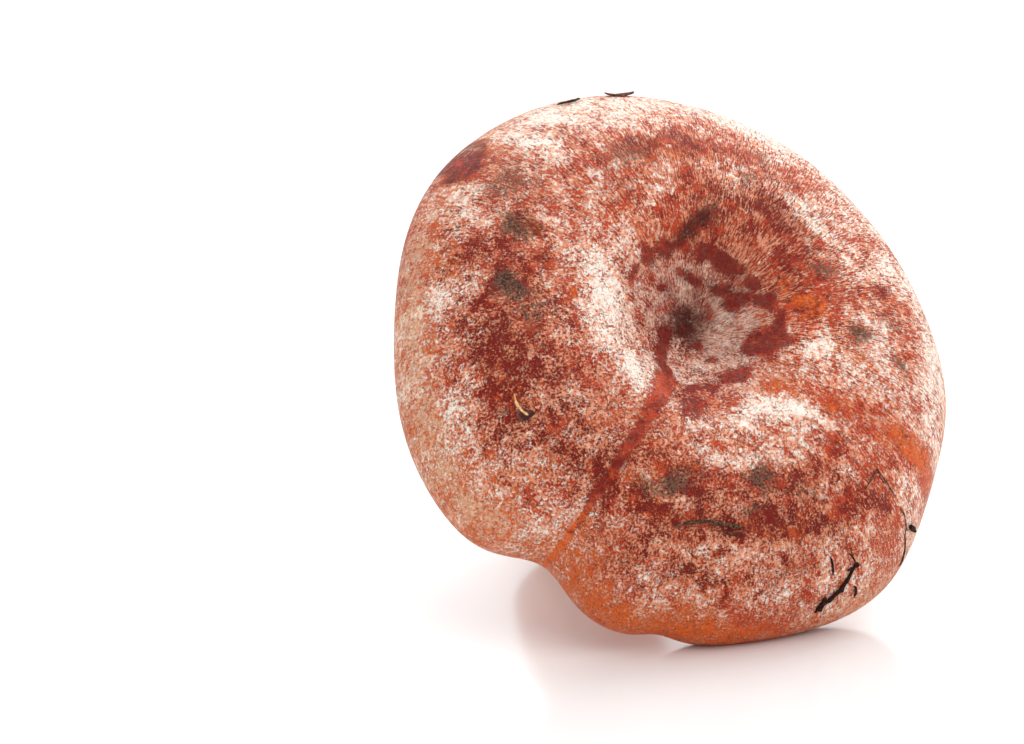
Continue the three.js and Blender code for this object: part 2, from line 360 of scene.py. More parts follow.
def footprint_middle(tip):
    """Where the middle of the tipped mushroom's footprint lies, seen from its own origin."""
    radius = CAP_RADIUS * np.linspace(0.5, 1, BOX_RINGS)[:, None]
    top = cap_points(radius, top_height(radius), directions(BOX_DIRECTIONS))
    points = np.concatenate([top.reshape(-1, 3), *rim_and_foot(BOX_DIRECTIONS)])
    x, y = points[:, 0], tipped(points, tip)[0]
    return (x.min() + x.max()) / 2, (y.min() + y.max()) / 2


TIP, LOW = rest_tip()
FOOTPRINT_MIDDLE = footprint_middle(TIP)


def placed(points):
    """Tips upright points over, sets them down where the CAD node lies and gives metres."""
    low, high = (np.array(corner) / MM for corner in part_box("mushroom"))
    y, z = tipped(points, TIP)
    x = points[..., 0] + (low[0] + high[0]) / 2 - FOOTPRINT_MIDDLE[0]
    y = y + (low[1] + high[1]) / 2 - FOOTPRINT_MIDDLE[1]
    z = np.maximum(z - LOW - PRESS_DEPTH, 0.0)
    return np.stack([x, y, z], -1) * MM


# ---- the cap's markings

# Elliptical marks: x, y, half length, half width, turn in degrees, amount
BLOTCHES = (
    (7.6, 9.9, 2.5, 1.6, -35, 1), (4.2, 12.2, 1.9, 1.6, -10, 1), (0.9, 13.2, 1.2, 1.5, 0, 0.95),
    (-2.2, 13, 1.8, 1.6, 5, 1), (-6, 12.2, 1.7, 1.9, 30, 1), (-9.6, 10.1, 2.2, 0.9, 50, 0.8),
    (12.1, 2.4, 1.9, 1.7, -50, 1), (8.2, 3.8, 2, 1.3, 20, 1), (10.6, -4.6, 3.4, 2.6, 20, 1.2),
    (13.2, -1.4, 1.8, 1.3, 80, 0.9), (4.6, -9.2, 2.8, 1.8, 10, 1), (-0.4, -10.9, 1.7, 1.3, 0, 0.9),
    (-4.2, -10.6, 2, 1.2, 5, 0.9), (-6.4, -14.2, 3, 2.2, 20, 0.85), (2.2, 8.2, 1.9, 1, -20, 0.8),
    (6.4, 6.2, 1.5, 1.1, -30, 0.8), (10.8, 6.4, 1.5, 1.1, -60, 0.8), (-0.4, 9.4, 1.1, 0.9, 0, 0.7),
    (2.2, -4.8, 1.3, 0.9, 0, 0.7), (1.2, -1.4, 1.2, 0.9, 0, 0.8), (-3.6, 8, 1, 0.8, 0, 0.6),
)
STAINS = (
    (-31.5, 10.8, 2.2, 2.6, 10, 1), (-29, 5, 2.6, 4, 0, 0.45), (-26.5, 20.5, 1.6, 3.2, 35, 0.9),
    (-25, 28.5, 4.6, 3.2, 20, 0.62), (-4.5, 30, 5, 3, 0, 0.5), (-5.8, 44.8, 2.4, 1, 0, 0.8),
    (3.2, 16.2, 4.8, 1.5, 32, 0.2), (7.2, 19.2, 2.4, 1.6, 45, 0.3), (20, 28, 2.4, 1.4, -30, 0.6),
    (15.2, 24, 2, 1.2, 0, 0.55), (23.4, 6.6, 3, 1.5, -10, 0.6), (26.3, -5.2, 2.2, 1.6, -30, 1),
    (32.2, -11.2, 1.7, 1.8, 0, 0.85), (33, -3.5, 2.5, 2, 0, 0.4), (-13.2, -26.6, 3.6, 1.7, 10, 0.85),
    (-18, -27.5, 2, 1.6, 0, 0.5), (1.4, -28.2, 2.4, 2.8, 0, 0.9), (-1, -33, 2.4, 1.2, 0, 0.5),
    (9, -30, 3, 1.4, 0, 0.4), (-36, -10.5, 1.2, 0.9, 0, 0.7), (38, 20, 2.5, 1.5, -60, 0.45),
    (-22, 33, 3, 1.5, 30, 0.35), (4, -42, 4, 1, 0, 0.35),
)
DARK_PATCHES = (
    (-37, 2, 2.2, 2.8, 20, 0.6), (-33, -4.5, 2.4, 3.4, 0, 0.5), (-35.5, -14, 2.8, 2.6, 0, 0.35),
    (-27.5, -8, 2.4, 6, 10, 0.35), (-24.5, 3, 2, 6, 0, 0.3), (-25, -21, 4, 4, 0, 0.3),
    (11.5, -34.5, 4, 1.6, -10, 0.4), (-14, -39, 2.4, 1.6, 10, 0.5),
    (-9, -40.5, 2.6, 1.4, 0, 0.45), (20, -31, 4, 1.8, -25, 0.35),
    (21, 17, 5, 7, 35, 0.3), (12, 22, 5, 3, 20, 0.25), (3, 33, 7, 1.6, 0, 0.3),
    (34.5, 3, 2.5, 2, 0, 0.4), (-19.5, -36.5, 3, 2, 30, 0.35), (0, 2, 4.5, 4.5, 0, 0.45),
)
# Dark marks, part dirt and part painted shade. The first is painted shade in the dish, the second its
# near-black centre, dirt and painted shade, and the third darkens the cap beside the dish to its upper
# right. The broad fourth and fifth are painted shade on the lower left and low on the cap. The two faint
# ones on the left and the last three lie over stains and the smudge.
DIRT_AND_SHADE_MARKS = (
    (3, 5, 13, 12, 0, 0.22), (0.2, 2.4, 3.4, 2.6, 20, 0.6), (12, 14, 9, 9, 40, 0.12),
    (-24, -18, 12, 10, 0, 0.1), (0, -36, 26, 10, 0, 0.16),
    (-24, 33, 6, 5, 0, 0.08), (-33, 6, 6, 9, 0, 0.1), (-31, 10.8, 1.6, 1.8, 10, 0.3),
    (3.2, 16.2, 4.8, 1.4, 32, 0.85), (26.2, -5.2, 1.6, 1.3, -30, 0.25),
)
ORANGE_PATCHES = (
    (19, 0.2, 3.6, 2.8, 0, 0.8), (24, -9, 5, 2.5, -35, 0.55), (33, -23, 5, 2.5, -30, 0.7),
    (-33, 28, 4.5, 3.5, 40, 0.9), (-38, 20, 3, 6, 0, 0.5), (-20, 40, 5, 2.5, 25, 0.6),
    (6, 28, 8, 2.5, -10, 0.4), (-36, -20, 5, 3, 40, 0.5), (-33, -6, 4, 9, 0, 0.45),
    (-10, 20, 3, 6, 30, 0.25),
)
BLOOM_PATCHES = (
    (-13.5, 2, 3, 9, 0, 0.16), (-13, -8, 3, 3.5, 0, 0.2), (6, -16.5, 8, 2.4, 5, 0.3),
    (17.5, -7, 3.5, 1.6, 20, 0.3), (-2, 22, 5, 3, 0, 0.1), (14, -19, 4, 1.2, -30, 0.25),
    (26, 14, 1.4, 6, 30, 0.2), (-18, 10, 4, 6, 20, 0.14), (-40, 8, 3, 6, 0, 0.12),
    (4, 24, 5, 2.4, 0, -0.14), (19, 0.2, 3.6, 2.8, 0, -0.4), (-34, 25, 3, 4, 0, 0.1),
    (0, 2, 3.6, 3.2, 0, -0.2), (-28, 36, 4.5, 3, 40, -0.6),
)
# Bands round the axis: radius, half width, first angle, last angle, amount
BLOOM_BANDS = (
    (17.5, 3.6, 115, 250, 0.31), (17.5, 2.4, 255, 325, 0.22), (6.8, 3, 0, 360, 0.1),
    (31.8, 1.9, 62, 118, -0.36), (21, 6.5, 5, 90, -0.2), (42.5, 5.5, -30, 120, 0.36),
    (29, 2.4, -30, 60, 0.1), (34.5, 5.5, 140, 250, -0.12), (24, 1.4, 150, 215, -0.12),
    (28.6, 1.3, 232, 305, -0.22), (31.8, 1.3, 235, 300, 0.22), (25.2, 1.2, 240, 305, 0.14),
    (35.6, 1.4, 230, 300, -0.2), (38.8, 1.2, 232, 300, 0.12), (41.8, 1.3, 230, 285, -0.12),
    (43.5, 4, 228, 290, 0.14), (48, 1.4, 236, 264, -0.35), (48, 1, 264, 292, -0.3),
    (43, 3, 130, 200, 0.12), (42.5, 6, 290, 340, 0.08),
)
TONE_BANDS = (
    (34, 5.5, 145, 235, 0.22), (20, 8, 10, 85, 0.22), (31.8, 1.8, 62, 118, 0.25),
    (42, 7, -70, 110, -0.2), (36, 3, 235, 300, 0.16), (28.6, 1.4, 232, 305, 0.2),
    (47, 3.5, 140, 300, -0.3), (17.5, 3.6, 110, 330, -0.16),
)
ORANGE_BANDS = (
    (48, 2, 226, 270, 0.7), (48, 1.6, 270, 300, 0.4), (47, 3.4, 165, 228, 0.75),
    (43, 3, 200, 262, 0.12),
)
PALE_BANDS = (
    (46.8, 2.4, 140, 222, 0.6), (47.5, 2.2, 275, 345, 0.5), (47.5, 3, -20, 130, 0.45),
)
# A fan of thin dark scratches: its middle, the scratches' heading, length, distance apart and number
SCRATCHES = (-25.5, 20.5, -62, 4.5, 0.9, 5)
# A scab with a dark rim: x, y, half length, half width, turn
SCAB = (-27.0, 37.5, 5.5, 2.2, 42)
SCAB_RIM = 0.16  # half the rim's width, as a share of the scab
SCAB_HEART = (0.8, 1.05)
SCRATCH_WIDTH = 0.32
SCRATCH_SEED = 6
SCRATCH_SPIN = 6  # degrees
BAND_FADE = 4.0  # degrees over which a band's ends fade
RIDGE = ((-10, 25), (-15, 32), (-21, 41))
RED_BAND = ((9, -13), (17, -16.5), (25, -20), (37, -27))
SMEAR = ((-4.4, 1.0), (-5.6, -2.5), (-7.6, -6.5))
RIDGE_WIDTH = 1.8
RED_WIDTH = 2.4
SMEAR_WIDTH = 1.5
# The bare strip along the crease: half its width at some radii, and where it starts
CREASE_STRIP_RADII = (8, 14, 26, 46)
CREASE_STRIP_WIDTHS = (2.9, 2.3, 1.3, 0.8)
CREASE_START = (8, 12)
LEOPARD_BANDS = ((34.5, 7.5, 140, 300, 1.0), (42, 4, 232, 302, 0.9))
LEOPARD_EDGE = (0.32, 0.6)

# Noises: size, seed, amount
WARP_X = ((4.0, 11, 1.3), (1.6, 12, 0.5))
WARP_Y = ((4.0, 13, 1.3), (1.6, 14, 0.5))
CREASE_NOISE = (3.0, 15, 0.5)
SCAB_NOISE = (1.1, 16, 0.22)
LEOPARD_NOISE = ((2.0, 21, 1.0), (0.9, 22, 0.4))
CLOUD_NOISE = ((6.0, 23, 1.0), (2.4, 24, 0.6))
STAIN_NOISE = (5.0, 25, 0.05)
ORANGE_NOISE = (5.0, 26, 0.25)
PALE_NOISE = (3.0, 27, 0.1)
RELIEF_NOISE = ((5.0, 31, 0.10), (2.2, 32, 0.06))

# How much of the warp the marks take: this near the centre, and so much more further out
MARK_WARP = 0.4
MARK_WARP_MORE = 0.3
MARK_WARP_ZONE = (4, 16)

# How much each feature of the skin adds
BLOOM_MIX = {"level": 0.5, "cloud": 0.16, "ridge": 0.18, "red": -0.3, "leopard": -0.35}
TONE_MIX = {
    "level": 0.38, "cloud": -0.1, "blotch": 0.5, "smear": 0.5, "leopard": 0.4, "groove": 0.1,
    "red": -0.05, "heart": 0.4,
}
ORANGE_MIX = {"level": 0.25, "red": 0.3, "blotch": -0.4, "smear": -0.4}
BARE_MIX = {"blotch": 1.0, "smear": 1.0, "groove": 0.9, "rim": 0.8, "heart": 0.5}  # the most counts
# The scratches and the scab's rim, real dark marks that join the dirt and painted shade
DARK_MARK_MIX = {"lines": 0.75, "rim": 0.85}

# Flecks lie along the radius where this is high: its level, its swing round the axis, its rings
FIBRE_LEVEL = 0.56
FIBRE_SWING = 0.42
FIBRE_HEADING = 40
FIBRE_RINGS = ((17, 6, -0.1), (0, 9, 0.35))

RIDGE_HEIGHT = 0.35
RIDGE_FOOT = 1.6
FLAT_MARGIN = 4  # the relief fades out over this width at the margin


def turned(x, y, degrees):
    c, s = math.cos(math.radians(degrees)), math.sin(math.radians(degrees))
    return x * c - y * s, x * s + y * c


def ellipse(x, y, at_x, at_y, along, across, turn):
    """How far out of a turned ellipse a point is: 0 in its middle and 1 on its edge."""
    u, v = turned(x - at_x, y - at_y, -turn)
    return np.hypot(u / along, v / across)


def marks(x, y, table):
    return sum(amount * np.exp(-ellipse(x, y, *place) ** 3) for *place, amount in table)


def scratches(x, y):
    at_x, at_y, heading, length, apart, count = SCRATCHES
    rng = np.random.default_rng(SCRATCH_SEED)
    total = 0 * x
    for number in range(count):
        aside = apart * (number - (count - 1) / 2)
        slip, spin = rng.uniform(-1, 1, 2)
        ends = [turned(end * length / 2 + slip, aside, heading + SCRATCH_SPIN * spin) for end in (-1, 1)]
        total += stroke(x, y, [(at_x + u, at_y + v) for u, v in ends], SCRATCH_WIDTH)
    return total


def bands(radius, angle, table):
    total = np.zeros_like(radius)
    for at, width, first, last, amount in table:
        middle, half = (first + last) / 2, (last - first) / 2
        off = np.abs(angle_between(angle, middle))
        ends = 1.0 / (1.0 + np.exp((off - half) / BAND_FADE)) if half < 180 else 1.0
        total += amount * bell(radius - at, width) * ends
    return total


def stroke(x, y, points, width):
    """One close to a line through the points, fading over the width."""
    nearest = np.full_like(x, np.inf)
    for (ax, ay), (bx, by) in zip(points, points[1:]):
        dx, dy = bx - ax, by - ay
        t = np.clip(((x - ax) * dx + (y - ay) * dy) / (dx * dx + dy * dy), 0, 1)
        nearest = np.minimum(nearest, np.hypot(x - ax - t * dx, y - ay - t * dy))
    return np.exp(-np.power(nearest / width, 3))


def smooth(value, low, high):
    t = np.clip((value - low) / (high - low), 0, 1)
    return t * t * (3 - 2 * t)


def crease_strip(radius, angle, flat):
    off = np.radians(angle_between(angle, CREASE_ANGLE))
    aside = np.abs(radius * np.sin(off) + noises(flat, CREASE_NOISE))
    width = np.interp(radius, CREASE_STRIP_RADII, CREASE_STRIP_WIDTHS)
    return np.exp(-np.power(aside / width, 3)) * (np.cos(off) > 0) * smooth(radius, *CREASE_START)


def features(x, y, radius, angle, flat):
    """The skin's features, each mostly between 0 and 1."""
    scab = ellipse(x, y, *SCAB) + noises(flat, SCAB_NOISE)
    zone = np.clip(bands(radius, angle, LEOPARD_BANDS), 0, 1)
    return {
        "level": np.ones_like(x),
        "blotch": np.clip(marks(x, y, BLOTCHES), 0, 1),
        "smear": stroke(x, y, SMEAR, SMEAR_WIDTH),
        "groove": crease_strip(radius, angle, flat),
        "red": stroke(x, y, RED_BAND, RED_WIDTH),
        "ridge": stroke(x, y, RIDGE, RIDGE_WIDTH),
        "leopard": smooth(noises(flat, *LEOPARD_NOISE), *LEOPARD_EDGE) * zone,
        "cloud": noises(flat, *CLOUD_NOISE),
        "rim": bell(scab - 1, SCAB_RIM),
        "heart": 1 - smooth(scab, *SCAB_HEART),
        "lines": scratches(flat[..., 0], flat[..., 1]),
    }


def mixed(skin, mix):
    return [amount * skin[name] for name, amount in mix.items()]


def fibres(radius, angle):
    rings = sum(amount * bell(radius - at, width) for at, width, amount in FIBRE_RINGS)
    return FIBRE_LEVEL + FIBRE_SWING * np.cos(np.radians(angle - FIBRE_HEADING)) + rings


def markings(radius, angle):
    """Bloom, tone and stain; orange, pale and fibre; bare, and dirt with painted shade: what makes the cap's
    colour.
    """
    flat = ring_points(radius, 0, angle)
    x, y = flat[..., 0], flat[..., 1]
    warp_x, warp_y = noises(flat, *WARP_X), noises(flat, *WARP_Y)
    warped = np.hypot(x + warp_x, y + warp_y)
    share = MARK_WARP + MARK_WARP_MORE * smooth(radius, *MARK_WARP_ZONE)
    mx, my = x + warp_x * share, y + warp_y * share
    skin = features(mx, my, radius, angle, flat)

    bloom = sum(mixed(skin, BLOOM_MIX)) + bands(warped, angle, BLOOM_BANDS) + marks(mx, my, BLOOM_PATCHES)
    tone = sum(mixed(skin, TONE_MIX)) + bands(warped, angle, TONE_BANDS) + marks(mx, my, DARK_PATCHES)
    stain = marks(mx, my, STAINS) + noises(flat, STAIN_NOISE)
    orange = sum(mixed(skin, ORANGE_MIX)) + noises(flat, ORANGE_NOISE)
    orange += bands(radius, angle, ORANGE_BANDS) + marks(mx, my, ORANGE_PATCHES)
    pale = bands(radius, angle, PALE_BANDS) + noises(flat, PALE_NOISE)
    bare = np.max(mixed(skin, BARE_MIX), axis=0)
    # Dark marks: dirt, the scratches, the scab's rim, and painted shade in the dish and low on the cap
    dirt_and_shade = marks(x, y, DIRT_AND_SHADE_MARKS) + sum(mixed(skin, DARK_MARK_MIX))
    cover = np.clip(np.stack([bloom, tone, stain], -1), -0.2, 1.2)
    finish = np.clip(np.stack([orange, pale, fibres(radius, angle)], -1), 0, 1)
    return cover, finish, np.clip(np.stack([bare, dirt_and_shade, 0 * bare], -1), 0, 1)


def relief(radius, angle):
    """How far the skin stands up over the smooth shape."""
    flat = ring_points(radius, 0, angle)
    ridge = RIDGE_HEIGHT * stroke(flat[..., 0], flat[..., 1], RIDGE, RIDGE_FOOT)
    return (noises(flat, *RELIEF_NOISE) + ridge) * smooth(CAP_RADIUS - radius, 0, FLAT_MARGIN)


# ---- meshes


def link(name, verts, faces):
    mesh = bpy.data.meshes.new(name)
    mesh.from_pydata(verts, [], faces)
    mesh.polygons.foreach_set("use_smooth", np.ones(len(faces), bool))
    mesh.update()
    piece = bpy.data.objects.new(name, mesh)
    bpy.context.scene.collection.objects.link(piece)
    return piece


def add_attribute(piece, name, values):
    layer = piece.data.attributes.new(name, "FLOAT_VECTOR", "POINT")
    layer.data.foreach_set("vector", np.asarray(values, np.float32).ravel())


def add_uv(piece, corners):
    """Gives the piece its bake map from one (u, v) per face corner."""
    layer = piece.data.uv_layers.new(name="OFBake")
    layer.data.foreach_set("uv", np.asarray(corners, np.float32).ravel())


def capped(values):
    """Values for every ring's columns with the mean of the first and last ring at the two ends."""
    flat = values.reshape(-1, values.shape[-1])
    return np.concatenate([values[0].mean(0)[None], flat, values[-1].mean(0)[None]])


def quads(here, below, columns):
    """Faces between rings, from the number of each ring's first corner and of the ring's below it."""
    column = np.arange(columns)
    after = (column + 1) % columns
    here, below = here[:, None], below[:, None]
    return np.stack([here + column, below + column, below + after, here + after], -1).reshape(-1, 4).tolist()


def ring_faces(rings, columns):
    """Faces of a closed body of rings; its first and last ring are closed by a fan."""
    ring = np.arange(rings - 1) * columns + 1
    end = rings * columns + 1
    base = end - columns
    faces = quads(ring, ring + columns, columns)
    faces += [[0, 1 + c, 1 + (c + 1) % columns] for c in range(columns)]
    faces += [[end, base + (c + 1) % columns, base + c] for c in range(columns)]
    return faces


def closed_rings(name, points):
    """A closed body from points[ring, column]."""
    return link(name, placed(capped(points)), ring_faces(*points.shape[:2]))


def closed_torus(name, points):
    """A closed body from points[ring, column] that runs round both ways."""
    rings, columns = points.shape[:2]
    ring = np.arange(rings)
    faces = quads(ring * columns, (ring + 1) % rings * columns, columns)
    return link(name, placed(points.reshape(-1, 3)), faces)


def ring_lengths(points):
    """How far along the body each ring lies, from 0 at the first to 1 at the last."""
    steps = np.linalg.norm(np.diff(points, axis=0), axis=-1).mean(1)
    way = np.concatenate([[0], np.cumsum(steps)])
    return way / way[-1]


def disc_uv(piece, columns, spread):
    """Lays the body out as one flat disc, ring by ring, spread telling each ring's radius."""
    angle = np.radians(directions(columns))
    reach = 0.495 * spread[:, None]
    uv = np.stack([0.5 + reach * np.cos(angle), 0.5 + reach * np.sin(angle)], -1)
    per_vert = np.concatenate([[[0.5, 0.5]], uv.reshape(-1, 2), [[0.999, 0.999]]])
    index = np.zeros(len(piece.data.loops), int)
    piece.data.loops.foreach_get("vertex_index", index)
    add_uv(piece, per_vert[index])


def strip_uv(piece, columns, way, closed_ends):
    """Lays the body out as one strip, columns across and rings up it, way telling each ring's height."""
    u0 = np.arange(columns) / columns
    u1 = u0 + 1 / columns
    low, high = way[:-1, None] + 0 * u0, way[1:, None] + 0 * u0
    left, right = u0 + 0 * low, u1 + 0 * low
    quads = np.stack([left, low, left, high, right, high, right, low], -1).reshape(-1, 2)
    parts = [quads]
    if closed_ends:
        mid = (u0 + u1) / 2
        start, end = 0 * u0 + way[0], 0 * u0 + way[-1]
        parts.append(np.stack([mid, start * 0, u0, start, u1, start], -1).reshape(-1, 2))
        parts.append(np.stack([mid, end * 0 + 1, u1, end, u0, end], -1).reshape(-1, 2))
    add_uv(piece, np.concatenate(parts))


def inward_normals(line):
    """Directions from the gills' edges towards the flesh."""
    step = np.gradient(line, axis=0)
    normal = np.stack([step[:, 1], -step[:, 0]], -1)
    return normal / np.linalg.norm(normal, axis=1, keepdims=True)


def inner_points(angle):
    """The cap's face inside the flesh, hidden by the gills."""
    line = gill_edge_line(INNER_KNOTS)
    hidden = (line + inward_normals(line) * (GILL_DEPTH + INNER_COVER))[1:INNER_RINGS + 1, :, None]
    return cap_points(hidden[:, 0], hidden[:, 1], angle)


def cap_piece():
    angle = directions(CAP_COLUMNS)
    lip = np.linspace(0, 1, LIP_RINGS)
    even = np.linspace(0, 1, CAP_RINGS + 1)[1:]
    rings = CAP_RADIUS * (CAP_CROWDING * np.sin(even * math.pi / 2) + (1 - CAP_CROWDING) * even)
    radius = rings[:, None]
    top = cap_points(radius, top_height(radius) + relief(radius, angle), angle, creased=True)
    rim = lip_points(np.linspace(0, math.pi, LIP_RINGS + 1)[1:, None], angle)
    points = np.concatenate([top, rim, inner_points(angle)])
    piece = closed_rings("cap", points)
    spread = 0.96 * ring_lengths(points[:CAP_RINGS + LIP_RINGS])
    disc_uv(piece, CAP_COLUMNS, np.concatenate([spread, 0.965 + 0.005 * np.arange(INNER_RINGS)]))

    def rows(on_top, on_rim, inside):
        """One value for each ring, the same in all its columns."""
        values = np.concatenate([on_top, on_rim + 0 * lip, np.full(INNER_RINGS, inside)])
        return values[:, None] + 0 * angle

    outer = rows(rings, CAP_RADIUS, CAP_RADIUS)
    run = rows(rings, CAP_RADIUS + LIP_LENGTH * lip, INNER_RUN)
    under = rows(0 * rings, lip, 1.0)
    cover, finish, bald = markings(outer, angle + 0 * outer)
    cover[..., 0] -= UNDER_BLOOM * under
    finish[..., 0] = np.clip(finish[..., 0] + UNDER_ORANGE * under, 0, 1)
    add_attribute(piece, "cover", capped(cover))
    add_attribute(piece, "finish", capped(finish))
    # Bare share, then dirt with painted shade
    add_attribute(piece, "bald", capped(bald))
    add_attribute(piece, "polar", capped(ring_points(1, run, angle)))
    return piece


def gill_ridges(way, phase, gill, rng):
    """How much of a gill there is: 1 on the long and short gills and 0 between them."""
    full = np.clip(GILL_FLANK - np.abs(phase - 0.5) / GILL_HALF_WIDTH, 0, 1)
    short = np.clip(GILL_FLANK - np.minimum(phase, 1 - phase) / GILL_HALF_WIDTH, 0, 1)
    count = GILL_COUNT + 1
    is_stub = rng.random(count) < STUB_SHARE
    reach = np.where(is_stub, rng.uniform(*STUB_REACH, count), rng.uniform(*SHORT_REACH, count))
    mine = reach[(gill + (phase > 0.5)) % GILL_COUNT]
    return np.maximum(full + 0 * way, short * smooth(mine - way, 0, SHORT_FADE) * SHORT_HEIGHT)


def gill_back(line, inward, angle):
    """The hidden back of the gills, inside the flesh, from the stem to the margin."""
    over = (line + inward * (GILL_DEPTH + BACK_COVER))[::-BACK_STEP, :, None]
    return bent(cap_points(over[:, 0], over[:, 1], angle[::-BACK_STEP]), over[:, 1])


def gills_piece():
    column = np.arange(GILL_COUNT * GILL_COLUMNS)
    gill, phase = column // GILL_COLUMNS, (column % GILL_COLUMNS) / GILL_COLUMNS
    way = np.linspace(0, 1, GILL_ROWS)[:, None]
    rng = np.random.default_rng(GILL_SEED)
    shift = rng.uniform(-GILL_SHIFT, GILL_SHIFT, GILL_COUNT + 1)
    shift[-1] = shift[0]
    at = np.interp(column / GILL_COLUMNS, np.arange(GILL_COUNT + 1), shift)
    pitch = 360.0 / GILL_COUNT
    grid = ring_points(GILL_NOISE_ROUND, way * GILL_NOISE_ALONG, column * pitch / GILL_COLUMNS)
    wave = GILL_WAVE * value_noise(grid, 1.0, 41) * np.sin(math.pi * way)
    angle = (column / GILL_COLUMNS + at + wave) * pitch

    ridge = gill_ridges(way, phase, gill, rng)
    body = np.power(np.clip(np.sin(math.pi * way), 0, 1), GILL_ENDS)
    crest = CREST_HEIGHT + CREST_NOISE * value_noise(grid * CREST_NOISE_SCALE, 1.0, 42)
    deep = body * (GILL_DEPTH * (1 - ridge) + crest * ridge)
    line = gill_edge_line(GILL_ROWS)
    inward = inward_normals(line)
    radius = line[:, :1] + inward[:, :1] * deep
    height = line[:, 1:] + inward[:, 1:] * deep
    under = bent(cap_points(radius, height, angle), height)
    back = gill_back(line, inward, angle)
    piece = closed_torus("gills", np.concatenate([under, back]))
    way_up = [np.linspace(0, 0.93, GILL_ROWS), np.linspace(0.935, 0.995, len(back)), [1.0]]
    strip_uv(piece, len(column), np.concatenate(way_up), False)
    shown = np.stack([deep / GILL_DEPTH, way + 0 * angle, ridge], -1)
    hidden = np.broadcast_to((1.0, 1.0, 0.0), back.shape)
    add_attribute(piece, "gill", np.concatenate([shown, hidden]).reshape(-1, 3))
    return piece


def stem_piece():
    angle = directions(STEM_COLUMNS)
    height = np.linspace(STEM_TOP, -STEM_LENGTH, STEM_RINGS)[:, None]
    where = ring_points(STEM_RADIUS, height, angle)
    rough = STEM_ROUGHNESS * value_noise(where, 4.0, 51)
    rough += STEM_FINE_ROUGHNESS * value_noise(where * (1, 1, 0.35), 1.6, 52)
    pits = smooth(value_noise(where * (1, 1, 0.8), 3.2, 53), *PIT_EDGE)
    ease = smooth(height + STEM_LENGTH, 0, CUT_EASE)
    radius = np.interp(-height, [NECK_LENGTH, STEM_LENGTH], [STEM_RADIUS, STEM_FOOT_RADIUS])
    radius = radius + (rough - PIT_DEPTH * pits) * ease - CUT_ROUNDING * (1 - ease)
    side = stem_points(radius, height, angle)
    shares = np.array(CUT_SHARES)[:, None] + 0 * angle
    cut = stem_points(shares * STEM_FOOT_RADIUS, -STEM_LENGTH, angle)
    points = np.concatenate([side, cut])
    piece = closed_rings("stem", points)
    strip_uv(piece, STEM_COLUMNS, 0.01 + 0.98 * ring_lengths(points), True)
    on_side = np.stack([pits, -height / STEM_LENGTH + 0 * pits, 0 * pits], -1)
    on_cut = np.stack([0 * shares, 1 + 0 * shares, 1 - shares / 2], -1)
    add_attribute(piece, "stalk", capped(np.concatenate([on_side, on_cut])))
    add_attribute(piece, "upright", capped(np.concatenate([where, cut])))
    return piece


# ---- litter


def on_cap(share, angle):
    """Points on the cap's top and the directions out of it there."""
    def at(share, angle):
        radius = CAP_RADIUS * share
        return cap_points(radius, top_height(radius), angle, creased=True)

    out = at(share + SLOPE_STEP, angle) - at(share - SLOPE_STEP, angle)
    turn = at(share, angle + SLOPE_TURN) - at(share, angle - SLOPE_TURN)
    normal = np.cross(out, turn)
    return at(share, angle), normal / np.linalg.norm(normal, axis=-1, keepdims=True)


def strand(node, thickness, seed, ahead=0.0, aside=0.0, turn=0.0, part=1.0):
    """Rings round a strand's line, or round a part of it that is moved and turned beside it."""
    share, angle, own_turn, length, bow, bend = STRANDS[node]
    way = np.linspace(-1, 1, max(STRAND_LEAST_RINGS, round(STRAND_RINGS_PER_MM * length * part)))
    x, y = turned(way * length / 2 * part, bow * (1 - np.abs(way) ** bend) * part, turn)
    x, y = turned(x + ahead, y + aside, own_turn)
    x, y = turned(x + share * CAP_RADIUS, y, angle)
    middle, normal = on_cap(np.hypot(x, y) / CAP_RADIUS, np.degrees(np.arctan2(y, x)))
    along = np.gradient(middle, axis=0)
    side = np.cross(along / np.linalg.norm(along, axis=1, keepdims=True), normal)
    knots = np.stack([way * length * part / KNOT_SPACING, 0 * way, 0 * way], -1)
    radius = thickness / 2 * (1 - STRAND_TAPER * way**6) * (1 + KNOT_HEIGHT * value_noise(knots, 1.0, seed))
    around = np.arange(STRAND_SIDES) * 2 * math.pi / STRAND_SIDES
    grain = np.stack([np.cos(around) + 0 * way[:, None], np.sin(around) + 0 * way[:, None],
                      knots[:, :1] + 0 * around], -1)
    rough = radius[:, None] * (1 + BARK_ROUGHNESS * value_noise(grain, GRAIN_SIZE, seed))
    spread = side[:, None] * np.cos(around)[:, None] + normal[:, None] * np.sin(around)[:, None]
    return (middle + normal * radius[:, None])[:, None] + spread * rough[..., None]


def flake(node, curl, seed):
    """Rings of a thin curled plate that lies on the cap: its top, its edge, its underside."""
    share, angle, turn, length, width, thickness = FLAKES[node]
    middle, normal = on_cap(np.array([share]), np.array([angle]))
    outward = np.array([[*turned(1.0, 0.0, angle), 0.0]])
    ahead = outward - normal * (outward * normal).sum()
    ahead /= np.linalg.norm(ahead)
    aside = np.cross(normal, ahead)
    around = np.arange(FLAKE_COLUMNS) * 2 * math.pi / FLAKE_COLUMNS
    corner = np.stack([np.cos(around), np.sin(around), 0 * around], -1)
    ragged = 1 + FLAKE_RAGGEDNESS * value_noise(corner, FLAKE_LOBE_SIZE, seed)
    rings = []
    for out, side in FLAKE_RINGS:
        u = length / 2 * np.cos(around) * ragged * out
        v = width / 2 * np.sin(around) * ragged * out
        bump = FLAKE_BUMP * value_noise(np.stack([u, v, 0 * u], -1), FLAKE_BUMP_SIZE, seed + 1)
        height = curl * (u / length * 2) ** 2 + side * thickness / 2 + thickness * FLAKE_LIFT + bump
        u, v = turned(u, v, turn)
        rings.append(middle + ahead * u[:, None] + aside * v[:, None] + normal * height[:, None])
    return np.stack(rings)


